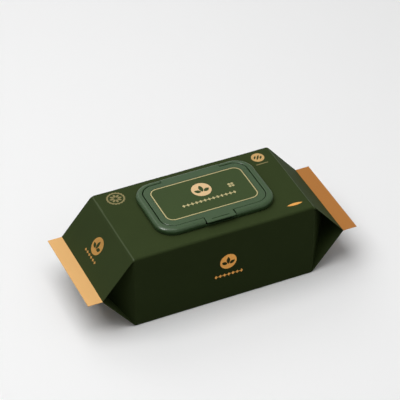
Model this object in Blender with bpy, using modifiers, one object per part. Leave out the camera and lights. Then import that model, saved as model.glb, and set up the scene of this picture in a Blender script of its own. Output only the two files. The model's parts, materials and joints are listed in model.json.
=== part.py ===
"""Wet wipes pack: a gusseted film pouch with two end seals, the stack of wipes in it,
and a hinged flip-top cap stuck over the opening in the top film.

The origin is at the middle of the underside. X runs along the pack, from seal to seal, Y from
the cap's latch at the front to its hinge at the back, and Z up. Sizes are in metres.
"""

import math

import bmesh
import bpy
from mathutils import Matrix, Vector

# Pouch
PANEL_LENGTH = 0.185        # top and bottom panels, from fold to fold
PACK_WIDTH = 0.103
PACK_HEIGHT = 0.082
END_RUN = 0.0325            # how far each end tapers out to its seal
SEAL_HEIGHT = 0.042         # height of the end seals above the underside
FIN_WIDTH = 0.0145          # flat seal beyond the taper
FILM_WALL = 0.0006          # one layer, drawn thicker than the real laminate
FOLD_RADIUS = 0.0025        # soft folds round the stack
BACK_SEAL_WIDTH = 0.012     # lengthwise seal, folded flat under the pack
SEAL_GROOVE_WIDTH = 0.0006
SEAL_GROOVE_DEPTH = 0.00025
APERTURE_LENGTH = 0.062     # die-cut hole under the cap
APERTURE_WIDTH = 0.028

# Stack of folded wipes
STACK_SIDE_GAP = 0.0009     # slack between the stack and the film
STACK_END_GAP = 0.0025
STACK_FLOOR_GAP = 0.0003
STACK_HEADROOM = 0.0025     # from the top of the stack to the film
STACK_RADIUS = 0.004
WIPE_STEP = 0.0009          # thickness of the folded edge that lies on top

# Cap, taken from the top film upwards
CAP_LENGTH = 0.122
CAP_DEPTH = 0.076
CAP_CORNER = 0.019
CAP_RISE = 0.007
CAP_SHIFT_X = 0.0025        # middle of the cap from the middle of the panel
CAP_SHIFT_Y = 0.0015
SEAT_GAP = 0.0003           # between pieces that are stuck or snapped together
NOSE_RADIUS = 0.0032        # rounded outer edge of the rim
TOE_RADIUS = 0.0008
RIM_SIDE = 0.0065
RIM_FRONT = 0.0065
RIM_REAR = 0.0046
RIM_EASE = 0.0008           # rounding of the rim's inner edge
RECESS_CORNER = 0.0135
FLOOR_THICK = 0.0015
MOUTH_LENGTH = 0.074
MOUTH_WIDTH = 0.040
MOUTH_CORNER = 0.015
LIP_WALL = 0.0014
LIP_RISE = 0.0022

# Adhesive ring under the rim
TAPE_INSET = 0.0018
TAPE_WIDTH = 0.004
TAPE_THICK = 0.0005

# Cover
COVER_THICK = 0.0018
COVER_EASE = 0.0006         # rounding of its upper edges
GAP_SIDE = 0.0009
GAP_FRONT = 0.0004
GAP_REAR = 0.0010
SKIRT_INSET = 0.002
SKIRT_WALL = 0.0012
PLUG_CLEARANCE = 0.0004     # between the mouth's lip and the plug ring round it
PLUG_WALL = 0.001
FLOOR_CLEARANCE = 0.0004    # under the skirt and the plug ring
RIB_WALL = 0.001
RIB_SPACING = 0.022

# Hinge
HINGE_NOTCH = 0.062         # width of the opening in the rear rim
HINGE_INSET = 0.0026        # axis from the rear edge of the cap
BARREL_RADIUS = 0.0024
BARREL_END_GAP = 0.0005
PIN_RADIUS = 0.001
PIN_LENGTH = 0.0025
SOCKET_CLEARANCE = 0.00025

# Latch
TAB_WIDTH = 0.030
TAB_SLIT = 0.0008
TAB_REACH = 0.0010          # how far the tab stands out past the rim
TAB_LIP_DEPTH = 0.0024
TAB_LIP_THICK = 0.0030
TAB_EASE = 0.0005
TAB_LEDGE = 0.0020          # film to the ledge left under the tab
GRIP_LENGTH = 0.018
GRIP_WIDTH = 0.0009
GRIP_DEPTH = 0.0005
GRIP_SETBACK = 0.0036
CATCH_LENGTH = 0.016
CATCH_WALL = 0.0010
CATCH_CLEARANCE = 0.0004
CATCH_OVERLAP = 0.0014

# Label let into the cover
LABEL_LENGTH = 0.0955
LABEL_DEPTH = 0.0505
LABEL_CORNER = 0.0085
LABEL_THICK = 0.0004
LABEL_SHIFT_X = 0.0
LABEL_SHIFT_Y = 0.0

# Modelling
CORNER_STEPS = 7            # straight pieces in a quarter turn
CUT_MARGIN = 0.002          # how far a cutter runs past what it cuts
ROUND_SIDES = 24

# Worked out from the sizes above
PACK_HALF = PANEL_LENGTH / 2
SEAL_X = PACK_HALF + END_RUN
FIN_THICK = 2 * FILM_WALL
FOLD_THICK = 2 * FILM_WALL
TUCK_DEPTH = PACK_HEIGHT / 2          # a side panel folds in by half its own height
CAP_LEFT = CAP_SHIFT_X - CAP_LENGTH / 2
CAP_RIGHT = CAP_SHIFT_X + CAP_LENGTH / 2
CAP_FRONT = CAP_SHIFT_Y - CAP_DEPTH / 2
CAP_REAR = CAP_SHIFT_Y + CAP_DEPTH / 2
CAP_TOP = PACK_HEIGHT + CAP_RISE
FLOOR_TOP = PACK_HEIGHT + SEAT_GAP + FLOOR_THICK
RECESS = (CAP_LEFT + RIM_SIDE, CAP_RIGHT - RIM_SIDE, CAP_FRONT + RIM_FRONT, CAP_REAR - RIM_REAR)
MOUTH_X = CAP_SHIFT_X
MOUTH_Y = (RECESS[2] + RECESS[3]) / 2
COVER_UNDER = CAP_TOP - COVER_THICK
HINGE_Y = CAP_REAR - HINGE_INSET
HINGE_Z = CAP_TOP - BARREL_RADIUS

PARTS = "wet_wipes_pack"
CUTTERS = "cutters"


def clear_scene():
    """Remove whatever the scene holds."""
    for thing in list(bpy.data.objects):
        bpy.data.objects.remove(thing, do_unlink=True)


def collection(name):
    """The collection of that name, made when it is first asked for."""
    found = bpy.data.collections.get(name)
    if found is None:
        found = bpy.data.collections.new(name)
        bpy.context.scene.collection.children.link(found)
    return found


def material(name, colour, roughness, metallic=0.0):
    """A plain Principled material."""
    made = bpy.data.materials.new(name)
    made.use_nodes = True
    shader = made.node_tree.nodes["Principled BSDF"]
    shader.inputs["Base Color"].default_value = (*colour, 1.0)
    shader.inputs["Roughness"].default_value = roughness
    shader.inputs["Metallic"].default_value = metallic
    return made


def keep(name, mesh, group):
    """An object for the mesh, linked to the named collection."""
    thing = bpy.data.objects.new(name, mesh)
    collection(group).objects.link(thing)
    if group == CUTTERS:
        thing.hide_render = True
        thing.display_type = "WIRE"
    return thing


def mesh_object(name, bm, group=CUTTERS):
    """Turn a bmesh into an object with its faces pointing out."""
    bmesh.ops.recalc_face_normals(bm, faces=bm.faces)
    mesh = bpy.data.meshes.new(name)
    bm.to_mesh(mesh)
    bm.free()
    return keep(name, mesh, group)


def rounded_rectangle(left, right, front, rear, radius):
    """Points of a rectangle with round corners, anticlockwise."""
    corners = (
        (right - radius, front + radius, -90),
        (right - radius, rear - radius, 0),
        (left + radius, rear - radius, 90),
        (left + radius, front + radius, 180),
    )
    points = []
    for x, y, start in corners:
        for step in range(CORNER_STEPS + 1):
            angle = math.radians(start + 90 * step / CORNER_STEPS)
            points.append((x + radius * math.cos(angle), y + radius * math.sin(angle)))
    return points


def centred(x, y, length, depth, radius):
    """A rounded rectangle about its middle."""
    return rounded_rectangle(x - length / 2, x + length / 2, y - depth / 2, y + depth / 2, radius)


def inset(outline_edges, radius, distance):
    """The same rounded rectangle, moved in by a distance on each side."""
    left, right, front, rear = outline_edges
    return rounded_rectangle(left + distance, right - distance, front + distance, rear - distance,
                             max(radius - distance, 0.0005))


def slab(name, outlines, bottom, top, group=CUTTERS):
    """A flat piece with the given outline, or a ring where there are two."""
    curve = bpy.data.curves.new(name, "CURVE")
    curve.dimensions = "2D"
    curve.fill_mode = "BOTH"
    curve.extrude = (top - bottom) / 2
    for outline in outlines:
        spline = curve.splines.new("POLY")
        spline.points.add(len(outline) - 1)
        for point, (x, y) in zip(spline.points, outline):
            point.co = (x, y, 0.0, 1.0)
        spline.use_cyclic_u = True
    guide = bpy.data.objects.new(name + "_outline", curve)
    collection(CUTTERS).objects.link(guide)
    bpy.context.view_layer.update()
    seen = guide.evaluated_get(bpy.context.evaluated_depsgraph_get())
    mesh = bpy.data.meshes.new_from_object(seen)
    bpy.data.objects.remove(guide, do_unlink=True)
    bm = bmesh.new()
    bm.from_mesh(mesh)
    bpy.data.meshes.remove(mesh)
    bmesh.ops.remove_doubles(bm, verts=bm.verts, dist=1e-6)
    bmesh.ops.dissolve_limit(bm, angle_limit=math.radians(1), verts=bm.verts, edges=bm.edges)
    bmesh.ops.translate(bm, verts=bm.verts, vec=(0, 0, (top + bottom) / 2))
    return mesh_object(name, bm, group)


def box(name, low, high, group=CUTTERS):
    """A box between two corners."""
    bm = bmesh.new()
    bmesh.ops.create_cube(bm, size=1.0)
    low = Vector(low)
    high = Vector(high)
    bmesh.ops.scale(bm, verts=bm.verts, vec=high - low)
    bmesh.ops.translate(bm, verts=bm.verts, vec=(low + high) / 2)
    return mesh_object(name, bm, group)


def rod(name, radius, start, end, group=CUTTERS):
    """A round bar along X at the height and depth of the hinge."""
    bm = bmesh.new()
    turn = Matrix.Rotation(math.radians(90), 4, "Y")
    bmesh.ops.create_cone(bm, cap_ends=True, segments=ROUND_SIDES, radius1=radius, radius2=radius,
                          depth=end - start, matrix=turn)
    bmesh.ops.translate(bm, verts=bm.verts, vec=((start + end) / 2, HINGE_Y, HINGE_Z))
    return mesh_object(name, bm, group)


def trimmed_block(name, low, high, planes, group=CUTTERS):
    """A box cut down by planes, each a point and the direction that is cut away."""
    bm = bmesh.new()
    bmesh.ops.create_cube(bm, size=1.0)
    low = Vector(low)
    high = Vector(high)
    bmesh.ops.scale(bm, verts=bm.verts, vec=high - low)
    bmesh.ops.translate(bm, verts=bm.verts, vec=(low + high) / 2)
    for point, normal in planes:
        cut = bmesh.ops.bisect_plane(bm, geom=bm.verts[:] + bm.edges[:] + bm.faces[:], dist=1e-7,
                                     plane_co=point, plane_no=normal, clear_outer=True)
        rim = [item for item in cut["geom_cut"] if isinstance(item, bmesh.types.BMEdge)]
        if rim:
            bmesh.ops.edgeloop_fill(bm, edges=rim)
    return mesh_object(name, bm, group)


def round_edges(thing, width, segments, chosen=None):
    """Bevel every edge, or only those that chosen picks with a weight from 0 to 1."""
    bevel = thing.modifiers.new("rounding", "BEVEL")
    bevel.width = width
    bevel.segments = segments
    if chosen is None:
        bevel.limit_method = "ANGLE"
        bevel.angle_limit = math.radians(50)
        return
    bevel.limit_method = "WEIGHT"
    mesh = thing.data
    weights = mesh.attributes.new("bevel_weight_edge", "FLOAT", "EDGE")
    for edge in mesh.edges:
        ends = [mesh.vertices[index].co for index in edge.vertices]
        weights.data[edge.index].value = chosen(*ends)


def cut(thing, *cutters):
    """Take the cutters' volume out of the object."""
    for cutter in cutters:
        boolean = thing.modifiers.new(cutter.name, "BOOLEAN")
        boolean.operation = "DIFFERENCE"
        boolean.solver = "EXACT"
        boolean.object = cutter


def join(thing, *others):
    """Grow the object by the others' volume."""
    for other in others:
        boolean = thing.modifiers.new(other.name, "BOOLEAN")
        boolean.operation = "UNION"
        boolean.solver = "EXACT"
        boolean.object = other


def finish(thing, look):
    """Give the object its material, and smooth shading that keeps flat faces flat."""
    thing.data.materials.append(look)
    thing.data.shade_smooth()
    thing.data.set_sharp_from_angle(angle=math.radians(35))
    thing.modifiers.new("flat_faces", "WEIGHTED_NORMAL")
    return thing


def end_planes(side, depth):
    """Planes of one end's upper and lower slopes, moved in by a depth."""
    upper = Vector((side * (PACK_HEIGHT - SEAL_HEIGHT), 0, END_RUN)).normalized()
    lower = Vector((side * SEAL_HEIGHT, 0, -END_RUN)).normalized()
    seal = Vector((side * SEAL_X, 0, SEAL_HEIGHT))
    return [(seal - upper * depth, upper), (seal - lower * depth, lower)]


def tuck_plane(side, face, depth):
    """Plane of the film that leans in at one tucked corner, moved inwards by a depth."""
    outward = Vector((side * TUCK_DEPTH, face * END_RUN, 0)).normalized()
    corner = Vector((side * PACK_HALF, face * PACK_WIDTH / 2, 0))
    return corner - outward * depth, outward


def make_pouch(look):
    """The film bag: a box of film with tapered ends, tucked sides, fins and a die-cut hole."""
    half_width = PACK_WIDTH / 2
    ends = end_planes(-1, 0.0) + end_planes(1, 0.0)
    pouch = trimmed_block("film_pouch", (-SEAL_X - CUT_MARGIN, -half_width, 0),
                          (SEAL_X + CUT_MARGIN, half_width, PACK_HEIGHT), ends, PARTS)

    def soft_fold(start, end):
        """Every edge but the two that run along the seals."""
        at_seal = min(abs(start.x), abs(end.x)) > SEAL_X - 1e-4
        return 0.0 if at_seal else 1.0

    round_edges(pouch, FOLD_RADIUS, 3, soft_fold)

    for side, place in ((-1, "left"), (1, "right")):
        near = side * (SEAL_X - CUT_MARGIN)
        far = side * (SEAL_X + FIN_WIDTH)
        fin = box("fin_" + place, (min(near, far), -half_width, SEAL_HEIGHT - FIN_THICK / 2),
                  (max(near, far), half_width, SEAL_HEIGHT + FIN_THICK / 2))
        join(pouch, fin)

    for side, place in ((-1, "left"), (1, "right")):
        for face, front_back in ((-1, "front"), (1, "rear")):
            point, outward = tuck_plane(side, face, 0.0)
            planes = end_planes(side, FOLD_THICK) + [(point, -outward)]
            reach = sorted((0.0, side * (SEAL_X + CUT_MARGIN)))
            span = sorted((0.0, face * (half_width + CUT_MARGIN)))
            tuck = trimmed_block(f"tuck_{front_back}_{place}",
                                 (reach[0], span[0], -CUT_MARGIN),
                                 (reach[1], span[1], PACK_HEIGHT + CUT_MARGIN), planes)
            cut(pouch, tuck)

    cut(pouch, make_cavity())
    hole = slab("aperture", [centred(MOUTH_X, MOUTH_Y, APERTURE_LENGTH, APERTURE_WIDTH,
                                     APERTURE_WIDTH / 2 - 0.0002)],
                PACK_HEIGHT - FILM_WALL - CUT_MARGIN, PACK_HEIGHT + CUT_MARGIN)
    cut(pouch, hole)

    for number, y in enumerate((0.0, BACK_SEAL_WIDTH)):
        groove = box(f"back_seal_edge_{number + 1}",
                     (-PACK_HALF + 2 * FOLD_RADIUS, y - SEAL_GROOVE_WIDTH / 2, -CUT_MARGIN),
                     (PACK_HALF - 2 * FOLD_RADIUS, y + SEAL_GROOVE_WIDTH / 2, SEAL_GROOVE_DEPTH))
        cut(pouch, groove)
    return finish(pouch, look)


def make_cavity():
    """The room inside the film, one wall in from its outer faces."""
    inner_half = PACK_WIDTH / 2 - FILM_WALL
    planes = []
    for side in (-1, 1):
        planes += end_planes(side, FILM_WALL)
        planes += [tuck_plane(side, face, FILM_WALL) for face in (-1, 1)]
    # Along the soft folds the corner is taken off, so the wall keeps its thickness there.
    corner_depth = FOLD_RADIUS * (math.sqrt(2) - 1) + FILM_WALL
    for face in (-1, 1):
        for height, up in ((0.0, -1), (PACK_HEIGHT, 1)):
            diagonal = Vector((0, face, up)).normalized()
            planes.append((Vector((0, face * PACK_WIDTH / 2, height)) - diagonal * corner_depth, diagonal))
    return trimmed_block("cavity", (-SEAL_X, -inner_half, FILM_WALL),
                         (SEAL_X, inner_half, PACK_HEIGHT - FILM_WALL), planes)


def make_stack(look):
    """The pile of folded wipes, with the free half of the top wipe lying over it."""
    half_length = PACK_HALF - STACK_END_GAP
    half_width = PACK_WIDTH / 2 - FILM_WALL - STACK_SIDE_GAP
    bottom = FILM_WALL + STACK_FLOOR_GAP
    top = PACK_HEIGHT - FILM_WALL - STACK_HEADROOM
    stack = box("wipes_stack", (-half_length, -half_width, bottom),
                (half_length, half_width, top - WIPE_STEP), PARTS)
    round_edges(stack, STACK_RADIUS, 3)
    fold = box("top_wipe_fold", (-half_length + STACK_RADIUS, -half_width + STACK_RADIUS,
                                 top - WIPE_STEP - CUT_MARGIN),
               (half_length - STACK_RADIUS, MOUTH_Y, top))
    round_edges(fold, WIPE_STEP / 2, 2)
    join(stack, fold)
    return finish(stack, look)


def make_adhesive_ring(look):
    """The ring of double-sided tape that holds the cap to the film."""
    edges = (CAP_LEFT, CAP_RIGHT, CAP_FRONT, CAP_REAR)
    outlines = [inset(edges, CAP_CORNER, TAPE_INSET), inset(edges, CAP_CORNER, TAPE_INSET + TAPE_WIDTH)]
    bottom = PACK_HEIGHT + SEAT_GAP
    return finish(slab("adhesive_ring", outlines, bottom, bottom + TAPE_THICK, PARTS), look)


def make_base(look):
    """The frame of the cap: rim, floor, mouth with its lip, hinge sockets and latch notch."""
    edges = (CAP_LEFT, CAP_RIGHT, CAP_FRONT, CAP_REAR)
    bottom = PACK_HEIGHT + SEAT_GAP
    base = slab("cap_base", [inset(edges, CAP_CORNER, 0.0)], bottom, CAP_TOP, PARTS)

    def nose_and_toe(start, end):
        """A fat rounding along the top edge, a small one along the bottom."""
        if abs(start.z - end.z) > 1e-6:
            return 0.0
        return 1.0 if start.z > (bottom + CAP_TOP) / 2 else TOE_RADIUS / NOSE_RADIUS

    round_edges(base, NOSE_RADIUS, 4, nose_and_toe)
    cut(base, slab("cover_recess", [inset(RECESS, RECESS_CORNER, 0.0)], FLOOR_TOP, CAP_TOP + CUT_MARGIN))
    round_edges(base, RIM_EASE, 2)

    mouth = (MOUTH_X - MOUTH_LENGTH / 2, MOUTH_X + MOUTH_LENGTH / 2,
             MOUTH_Y - MOUTH_WIDTH / 2, MOUTH_Y + MOUTH_WIDTH / 2)
    join(base, slab("mouth_lip", [inset(mouth, MOUTH_CORNER, -LIP_WALL)],
                    FLOOR_TOP - FLOOR_THICK / 2, FLOOR_TOP + LIP_RISE))
    cut(base, slab("mouth", [inset(mouth, MOUTH_CORNER, 0.0)], bottom - CUT_MARGIN,
                   FLOOR_TOP + LIP_RISE + CUT_MARGIN))

    # The rear rim opens for the hinge, and its two ends hold the sockets.
    cut(base, box("hinge_notch", (CAP_SHIFT_X - HINGE_NOTCH / 2, RECESS[3] - CUT_MARGIN, FLOOR_TOP),
                  (CAP_SHIFT_X + HINGE_NOTCH / 2, CAP_REAR + CUT_MARGIN, CAP_TOP + CUT_MARGIN)))
    socket_reach = HINGE_NOTCH / 2 + PIN_LENGTH
    cut(base, rod("hinge_sockets", PIN_RADIUS + SOCKET_CLEARANCE, CAP_SHIFT_X - socket_reach,
                  CAP_SHIFT_X + socket_reach))

    # The front rim opens under the tab, down to a ledge for the fingertip.
    notch_half = TAB_WIDTH / 2 + TAB_SLIT
    cut(base, box("tab_notch", (CAP_SHIFT_X - notch_half, CAP_FRONT - CUT_MARGIN, PACK_HEIGHT + TAB_LEDGE),
                  (CAP_SHIFT_X + notch_half, RECESS[2] + CUT_MARGIN, CAP_TOP + CUT_MARGIN)))
    catch_top = COVER_UNDER - CATCH_CLEARANCE
    join(base, box("catch", (CAP_SHIFT_X - CATCH_LENGTH / 2, RECESS[2] - CATCH_WALL, FLOOR_TOP - FLOOR_THICK / 2),
                   (CAP_SHIFT_X + CATCH_LENGTH / 2, RECESS[2], catch_top)))

    groove = [inset(edges, CAP_CORNER, TAPE_INSET - SEAT_GAP),
              inset(edges, CAP_CORNER, TAPE_INSET + TAPE_WIDTH + SEAT_GAP)]
    cut(base, slab("adhesive_groove", groove, bottom - CUT_MARGIN, bottom + TAPE_THICK + SEAT_GAP))
    return finish(base, look)


def make_cover(look):
    """The hinged cover: plate, skirt, plug ring, ribs, barrel with its pins, and latch tab."""
    edges = (RECESS[0] + GAP_SIDE, RECESS[1] - GAP_SIDE, RECESS[2] + GAP_FRONT, RECESS[3] - GAP_REAR)
    corner = RECESS_CORNER - GAP_SIDE
    cover = slab("cap_cover", [inset(edges, corner, 0.0)], COVER_UNDER, CAP_TOP, PARTS)

    def upper_edge(start, end):
        """The edge that shows round the top of the plate."""
        return 1.0 if min(start.z, end.z) > CAP_TOP - 1e-6 else 0.0

    round_edges(cover, COVER_EASE, 2, upper_edge)
    root = COVER_UNDER + COVER_THICK / 3
    foot = FLOOR_TOP + FLOOR_CLEARANCE
    join(cover, slab("skirt", [inset(edges, corner, SKIRT_INSET),
                               inset(edges, corner, SKIRT_INSET + SKIRT_WALL)], foot, root))
    mouth = (MOUTH_X - MOUTH_LENGTH / 2, MOUTH_X + MOUTH_LENGTH / 2,
             MOUTH_Y - MOUTH_WIDTH / 2, MOUTH_Y + MOUTH_WIDTH / 2)
    ring = -(LIP_WALL + PLUG_CLEARANCE)
    join(cover, slab("plug_ring", [inset(mouth, MOUTH_CORNER, ring - PLUG_WALL),
                                   inset(mouth, MOUTH_CORNER, ring)], foot, root))
    for side, place in ((-1, "left"), (1, "right")):
        for number in (-1, 1):
            y = MOUTH_Y + number * RIB_SPACING / 2
            ring_x = MOUTH_X + side * (MOUTH_LENGTH / 2 - ring + PLUG_WALL / 2)
            skirt_x = (edges[0] if side < 0 else edges[1]) - side * (SKIRT_INSET + SKIRT_WALL / 2)
            join(cover, box(f"rib_{place}_{'front' if number < 0 else 'rear'}",
                            (min(ring_x, skirt_x), y - RIB_WALL / 2, foot + FLOOR_CLEARANCE),
                            (max(ring_x, skirt_x), y + RIB_WALL / 2, root)))

    join(cover, *make_hinge_parts(edges))
    join(cover, *make_tab_parts(edges))
    cut(cover, slab("label_recess", [label_outline(SEAT_GAP)], CAP_TOP - LABEL_THICK - SEAT_GAP,
                    CAP_TOP + CUT_MARGIN))
    grip_y = CAP_FRONT - TAB_REACH + GRIP_SETBACK
    cut(cover, box("grip_groove", (CAP_SHIFT_X - GRIP_LENGTH / 2, grip_y - GRIP_WIDTH / 2, CAP_TOP - GRIP_DEPTH),
                   (CAP_SHIFT_X + GRIP_LENGTH / 2, grip_y + GRIP_WIDTH / 2, CAP_TOP + CUT_MARGIN)))
    return finish(cover, look)


def make_hinge_parts(edges):
    """The cover's tongue, the barrel under its rear edge and the two pins."""
    half = HINGE_NOTCH / 2 - BARREL_END_GAP
    tongue = box("hinge_tongue", (CAP_SHIFT_X - half, edges[3] - 2 * COVER_THICK, COVER_UNDER),
                 (CAP_SHIFT_X + half, HINGE_Y, CAP_TOP))
    barrel = rod("hinge_barrel", BARREL_RADIUS, CAP_SHIFT_X - half, CAP_SHIFT_X + half)
    reach = half + PIN_LENGTH
    pins = rod("hinge_pins", PIN_RADIUS, CAP_SHIFT_X - reach, CAP_SHIFT_X + reach)
    return tongue, barrel, pins


def make_tab_parts(edges):
    """The latch tab with its thick front lip, and the hook that snaps over the catch."""
    half = TAB_WIDTH / 2
    front = CAP_FRONT - TAB_REACH
    tab = box("tab", (CAP_SHIFT_X - half, front, COVER_UNDER),
              (CAP_SHIFT_X + half, edges[2] + 2 * COVER_THICK, CAP_TOP))
    round_edges(tab, TAB_EASE, 2)
    lip = box("tab_lip", (CAP_SHIFT_X - half, front, CAP_TOP - TAB_LIP_THICK),
              (CAP_SHIFT_X + half, front + TAB_LIP_DEPTH, CAP_TOP - TAB_EASE))
    round_edges(lip, TAB_EASE, 2)
    hook_rear = RECESS[2] - CATCH_WALL - CATCH_CLEARANCE
    hook = box("latch_hook", (CAP_SHIFT_X - CATCH_LENGTH / 2, hook_rear - CATCH_WALL,
                              COVER_UNDER - CATCH_CLEARANCE - CATCH_OVERLAP),
               (CAP_SHIFT_X + CATCH_LENGTH / 2, hook_rear, COVER_UNDER + COVER_THICK / 2))
    return tab, lip, hook


def label_outline(margin):
    """Outline of the label, or of its recess with a margin round it."""
    x = CAP_SHIFT_X + LABEL_SHIFT_X
    y = MOUTH_Y + LABEL_SHIFT_Y
    return centred(x, y, LABEL_LENGTH + 2 * margin, LABEL_DEPTH + 2 * margin, LABEL_CORNER + margin)


def make_label(look):
    """The printed label let into the cover."""
    return finish(slab("cover_label", [label_outline(0.0)], CAP_TOP - LABEL_THICK, CAP_TOP, PARTS), look)


def hang_on_hinge(*pieces):
    """Parent the moving pieces, with all that shapes them, to an empty on the hinge axis."""
    axis = bpy.data.objects.new("cap_hinge_axis", None)
    axis.empty_display_size = HINGE_NOTCH / 2
    axis.location = (CAP_SHIFT_X, HINGE_Y, HINGE_Z)
    collection(PARTS).objects.link(axis)
    for piece in pieces:
        shapers = [step.object for step in piece.modifiers if step.type == "BOOLEAN"]
        for thing in [piece] + shapers:
            thing.data.transform(Matrix.Translation(-axis.location))
            thing.parent = axis


def main():
    clear_scene()
    film = material("olive_film", (0.035, 0.058, 0.022), 0.45)
    cloth = material("white_nonwoven", (0.86, 0.87, 0.86), 0.95)
    tape = material("clear_adhesive", (0.75, 0.74, 0.66), 0.40)
    plastic = material("sage_plastic", (0.050, 0.125, 0.072), 0.35)
    print_stock = material("printed_label", (0.052, 0.085, 0.032), 0.40)

    make_pouch(film)
    make_stack(cloth)
    make_adhesive_ring(tape)
    make_base(plastic)
    cover = make_cover(plastic)
    label = make_label(print_stock)
    hang_on_hinge(cover, label)


main()
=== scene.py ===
# %% [markdown]
# # A wet wipes pack, dressed for its picture
#
# A wet wipes pack is three things: a film bag, folded like a parcel and sealed flat at both ends, a
# pile of folded wipes inside it, and a moulded flip-top cap stuck over a hole in the film.
# The construction model already has each piece at its real size. This lesson gives those pieces
# the soft folds, fine roundings, prints and finishes that make them look real. We start by loading
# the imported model, because the outer sizes of the pieces come from it.

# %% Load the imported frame
import json
from math import copysign, cos, pi, radians, sin

import bmesh
import bpy
from mathutils import Matrix, Vector, noise


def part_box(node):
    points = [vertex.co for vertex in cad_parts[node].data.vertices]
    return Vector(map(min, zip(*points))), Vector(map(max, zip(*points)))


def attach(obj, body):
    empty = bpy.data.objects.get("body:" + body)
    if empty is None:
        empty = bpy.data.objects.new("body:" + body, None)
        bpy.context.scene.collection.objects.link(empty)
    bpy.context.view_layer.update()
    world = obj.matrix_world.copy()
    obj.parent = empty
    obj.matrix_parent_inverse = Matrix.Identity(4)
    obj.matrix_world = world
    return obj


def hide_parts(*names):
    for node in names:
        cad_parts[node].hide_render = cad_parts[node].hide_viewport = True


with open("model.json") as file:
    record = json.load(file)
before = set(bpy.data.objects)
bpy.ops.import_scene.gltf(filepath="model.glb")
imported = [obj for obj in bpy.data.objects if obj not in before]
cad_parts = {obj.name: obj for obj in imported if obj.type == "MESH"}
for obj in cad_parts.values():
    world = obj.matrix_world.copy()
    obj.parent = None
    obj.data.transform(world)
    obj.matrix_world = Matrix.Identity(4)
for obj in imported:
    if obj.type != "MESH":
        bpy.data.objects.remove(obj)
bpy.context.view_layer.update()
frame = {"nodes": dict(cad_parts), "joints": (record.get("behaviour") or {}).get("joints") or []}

print("nodes in the frame:", sorted(frame["nodes"]))

# %% [markdown]
# ## The camera
#
# The picture is taken with a long lens from the front left, looking down on the pack. A long lens
# keeps parallel edges nearly parallel, as a product photographer wants. The camera's turn follows
# from azimuth, how far it has gone round the pack, and elevation, how far it looks down.

# %% Camera
CAMERA_AZIMUTH = radians(-24.42)
CAMERA_ELEVATION = radians(39.01)
CAMERA_PLACE = Vector((-0.61252, -1.34258, 1.27901))
CAMERA_LENS = 180.46
SENSOR_WIDTH = 36.0


def put(name, data):
    """A new object in the scene."""
    thing = bpy.data.objects.new(name, data)
    bpy.context.scene.collection.objects.link(thing)
    return thing


def make_camera():
    """The photographer's camera, turned by azimuth and elevation."""
    back = Vector((sin(CAMERA_AZIMUTH) * cos(CAMERA_ELEVATION),
                   -cos(CAMERA_AZIMUTH) * cos(CAMERA_ELEVATION),
                   sin(CAMERA_ELEVATION)))
    right = Vector((cos(CAMERA_AZIMUTH), sin(CAMERA_AZIMUTH), 0.0))
    turn = Matrix((right, back.cross(right), back)).transposed().to_4x4()
    data = bpy.data.cameras.new("camera")
    data.lens = CAMERA_LENS
    data.sensor_width = SENSOR_WIDTH
    camera = put("camera", data)
    camera.matrix_world = Matrix.Translation(CAMERA_PLACE) @ turn
    bpy.context.scene.camera = camera


make_camera()
bpy.context.scene.view_settings.view_transform = "Standard"
print("camera at", CAMERA_PLACE)

# %% [markdown]
# ## Floor, backdrop and lamps
#
# The pack stands on a pale floor that runs on as the background. Its pale colour is only for the
# camera and for mirror-like reflections: as a light source for the pack it is darker, so the front
# stays as deep as in the picture. Most light comes from a soft lamp high above. Two weaker ones
# lift the shadows, and a fourth lights nothing but is mirrored in the rim of the cap, as a soft line.

# %% Floor and backdrop
FLOOR_HALF = 6.0
FLOOR_PALE = (0.95, 0.95, 0.95)
BACKDROP_PALE = (0.84, 0.84, 0.84)
FLOOR_BOUNCE = (0.12, 0.12, 0.12)
AMBIENT_STRENGTH = 0.30


def link(start, out_name, end, in_name):
    """Join an output of one node to an input of another."""
    start.id_data.links.new(start.outputs[out_name], end.inputs[in_name])


def add_node(tree, kind, inputs=()):
    """A new node of some kind, with some of its inputs set."""
    node = tree.nodes.new("ShaderNode" + kind)
    for name in inputs:
        node.inputs[name].default_value = inputs[name]
    return node


def seen_directly(tree):
    """A node that gives 1 to camera, mirror and glass rays, and 0 to the light that bounces."""
    path = add_node(tree, "LightPath")
    last, out = path, "Is Camera Ray"
    for name in ("Is Glossy Ray", "Is Transmission Ray"):
        add = add_node(tree, "Math")
        add.operation = "MAXIMUM"
        link(last, out, add, 0)
        link(path, name, add, 1)
        last, out = add, 0
    return last


def make_floor():
    """A wide pale floor that keeps the pack's shadow."""
    bm = bmesh.new()
    bmesh.ops.create_grid(bm, x_segments=1, y_segments=1, size=FLOOR_HALF)
    mesh = bpy.data.meshes.new("floor")
    bm.to_mesh(mesh)
    bm.free()
    floor = put("floor", mesh)
    look = bpy.data.materials.new("pale_floor")
    look.use_nodes = True
    tree = look.node_tree
    tree.nodes.clear()
    colour = add_node(tree, "Mix")
    colour.data_type = "RGBA"
    colour.inputs["A"].default_value = (*FLOOR_BOUNCE, 1)
    colour.inputs["B"].default_value = (*FLOOR_PALE, 1)
    link(seen_directly(tree), 0, colour, "Factor")
    matt = add_node(tree, "BsdfDiffuse")
    link(colour, "Result", matt, "Color")
    out = add_node(tree, "OutputMaterial")
    link(matt, "BSDF", out, "Surface")
    mesh.materials.append(look)


def make_ambience():
    """Even light from all round, seen as the same pale grey as the floor."""
    world = bpy.data.worlds.new("studio")
    world.use_nodes = True
    bpy.context.scene.world = world
    tree = world.node_tree
    background = tree.nodes["Background"]
    background.inputs["Color"].default_value = (*BACKDROP_PALE, 1)
    strength = add_node(tree, "MapRange", {"To Min": AMBIENT_STRENGTH, "To Max": 1.0})
    link(seen_directly(tree), 0, strength, "Value")
    link(strength, "Result", background, "Strength")


make_floor()
make_ambience()
print("floor and backdrop made")

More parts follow.
